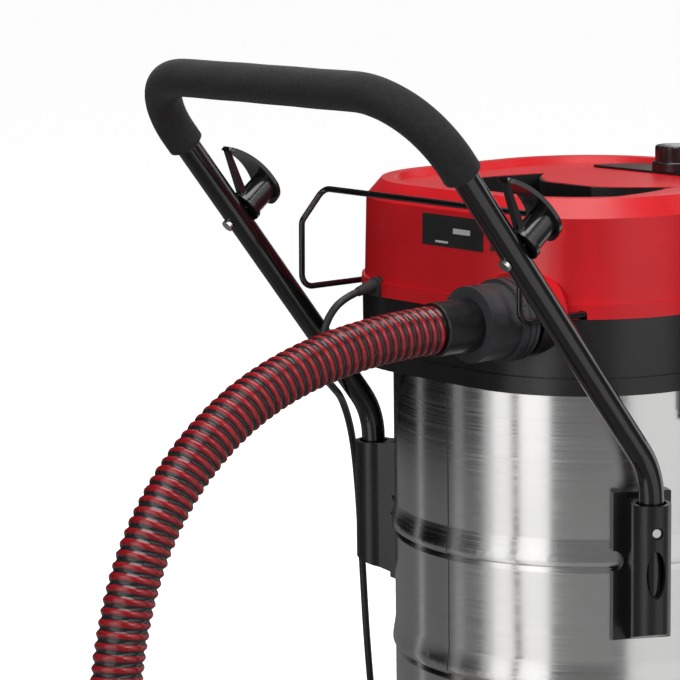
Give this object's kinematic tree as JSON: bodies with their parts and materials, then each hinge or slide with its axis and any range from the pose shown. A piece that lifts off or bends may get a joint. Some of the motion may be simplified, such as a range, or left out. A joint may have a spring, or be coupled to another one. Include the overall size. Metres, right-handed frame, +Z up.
{
  "type": "wet and dry shop vacuum",
  "caption": "Steel-drum shop vacuum on big rear wheels and front casters, with a latched motor head, a push handle, a hose on its blow port and a mains lead.",
  "frame": {"origin": "centre of the machine's footprint at floor level, with the hose coil and the mains lead's coil left out", "axes": "+Z up, +X to the machine's left when it is seen from behind its inlet side, +Y towards the push handle, so the suction inlet faces -Y"},
  "size_m": [0.616, 1.003, 0.8595],
  "materials": {
    "stainless": "brushed along the drum's circumference, satin",
    "red_plastic": "moulded, satin",
    "black_plastic": "moulded, fine texture",
    "grey_plastic": "moulded, satin",
    "black_gloss": "smooth, glossy",
    "black_paint": "gloss powder coat",
    "zinc": "bright zinc plate",
    "steel_dark": "turned steel",
    "rubber": "matte rubber",
    "tyre": "matte, ribbed tread",
    "foam": "closed-cell foam, matte",
    "hose": "corrugated flexible tube, red and black helix",
    "lead": "flexible lead, satin",
    "paper": "pleated filter paper"
  },
  "bodies": {
    "machine": {"base_chassis": "black_plastic", "rear_axle": "steel_dark", "drum": "stainless", "drum_rim_seal": "rubber", "suction_inlet": "black_plastic", "inlet_screws": "zinc", "drain_plug": "black_plastic", "handle_socket_left": "black_plastic", "handle_socket_right": "black_plastic", "socket_screws": "zinc", "handle_tube": "black_paint", "foam_grip": "foam", "hook_bolts": "zinc", "head_lower_shell": "black_plastic", "head_top_shell": "red_plastic", "head_screws": "zinc", "carry_grip_insert": "black_plastic", "control_panel": "black_plastic", "switch_module": "grey_plastic", "outlet_socket": "black_plastic", "latch_pins": "steel_dark", "latch_catches": "black_plastic", "motor_gasket": "rubber", "motor_housing": "grey_plastic", "exhaust_filter": "paper", "filter_cage": "black_plastic", "filter_cartridge": "paper", "blow_port": "black_plastic", "hose_holder": "black_paint", "hose_coupling": "grey_plastic", "hose_sleeve": "black_plastic", "hose_run": "hose", "hose_coil": "hose", "hose_end_cuff": "black_plastic", "cord_grommet": "rubber", "power_cord": "lead", "power_cord_coil": "lead", "power_plug": "black_gloss"},
    "rear_wheel_left": {"rear_wheel_left": "red_plastic", "rear_tyre_left": "tyre", "hub_cap_left": "black_plastic"},
    "rear_wheel_right": {"rear_wheel_right": "red_plastic", "rear_tyre_right": "tyre", "hub_cap_right": "black_plastic"},
    "caster_left": {"caster_fork_left": "black_plastic", "caster_axle_left": "steel_dark"},
    "caster_right": {"caster_fork_right": "black_plastic", "caster_axle_right": "steel_dark"},
    "caster_wheel_left": {"caster_wheel_left": "grey_plastic"},
    "caster_wheel_right": {"caster_wheel_right": "grey_plastic"},
    "cable_hook_left": {"cable_hook_left": "black_gloss"},
    "cable_hook_right": {"cable_hook_right": "black_gloss"},
    "latch_left": {"latch_left": "black_plastic"},
    "latch_right": {"latch_right": "black_plastic"},
    "power_knob": {"power_knob": "black_gloss"},
    "outlet_flap": {"outlet_flap": "black_plastic"},
    "coupling_ring": {"coupling_ring": "grey_plastic"},
    "motor_rotor": {"motor_rotor": "steel_dark"},
    "float_ball": {"float_ball": "grey_plastic"}
  },
  "joints": [
    {"name": "rear_wheel_left_spin", "type": "hinge", "parent": "machine", "child": "rear_wheel_left", "pos_m": [0.216, 0.046, 0.09], "axis": [1, 0, 0], "continuous": true},
    {"name": "caster_left_swivel", "type": "hinge", "parent": "machine", "child": "caster_left", "pos_m": [0.118, -0.229, 0.066], "axis": [0, 0, 1], "continuous": true},
    {"name": "caster_wheel_left_spin", "type": "hinge", "parent": "caster_left", "child": "caster_wheel_left", "pos_m": [0.118, -0.209, 0.025], "axis": [1, 0, 0], "continuous": true},
    {"name": "cable_hook_left_turn", "type": "hinge", "parent": "machine", "child": "cable_hook_left", "pos_m": [0.2, 0.1891, 0.6965], "axis": [0, 0.7863, -0.6178], "range_deg": [0, 180]},
    {"name": "latch_left_lift", "type": "hinge", "parent": "machine", "child": "latch_left", "pos_m": [0.206, -0.074, 0.598], "axis": [0, -1, 0], "range_deg": [0, 95]},
    {"name": "rear_wheel_right_spin", "type": "hinge", "parent": "machine", "child": "rear_wheel_right", "pos_m": [-0.216, 0.046, 0.09], "axis": [1, 0, 0], "continuous": true},
    {"name": "caster_right_swivel", "type": "hinge", "parent": "machine", "child": "caster_right", "pos_m": [-0.118, -0.229, 0.066], "axis": [0, 0, 1], "continuous": true},
    {"name": "caster_wheel_right_spin", "type": "hinge", "parent": "caster_right", "child": "caster_wheel_right", "pos_m": [-0.118, -0.209, 0.025], "axis": [1, 0, 0], "continuous": true},
    {"name": "cable_hook_right_turn", "type": "hinge", "parent": "machine", "child": "cable_hook_right", "pos_m": [-0.2, 0.1891, 0.6965], "axis": [0, -0.7863, 0.6178], "range_deg": [0, 180]},
    {"name": "latch_right_lift", "type": "hinge", "parent": "machine", "child": "latch_right", "pos_m": [-0.206, -0.074, 0.598], "axis": [0, 1, 0], "range_deg": [0, 95]},
    {"name": "power_knob_turn", "type": "hinge", "parent": "machine", "child": "power_knob", "pos_m": [0, -0.219, 0.735], "axis": [0, 0, 1], "range_deg": [-60, 60]},
    {"name": "outlet_flap_lift", "type": "hinge", "parent": "machine", "child": "outlet_flap", "pos_m": [0, -0.2912, 0.6945], "axis": [-1, 0, 0], "range_deg": [0, 100]},
    {"name": "coupling_ring_turn", "type": "hinge", "parent": "machine", "child": "coupling_ring", "pos_m": [-0.111, 0.1195, 0.622], "axis": [0, 1, 0], "range_deg": [0, 30]},
    {"name": "motor_rotor_spin", "type": "hinge", "parent": "machine", "child": "motor_rotor", "pos_m": [0, -0.089, 0.62], "axis": [0, 0, 1], "continuous": true},
    {"name": "float_ball_rise", "type": "slide", "parent": "machine", "child": "float_ball", "axis": [0, 0, 1], "range_m": [0, 0.055]}
  ]
}
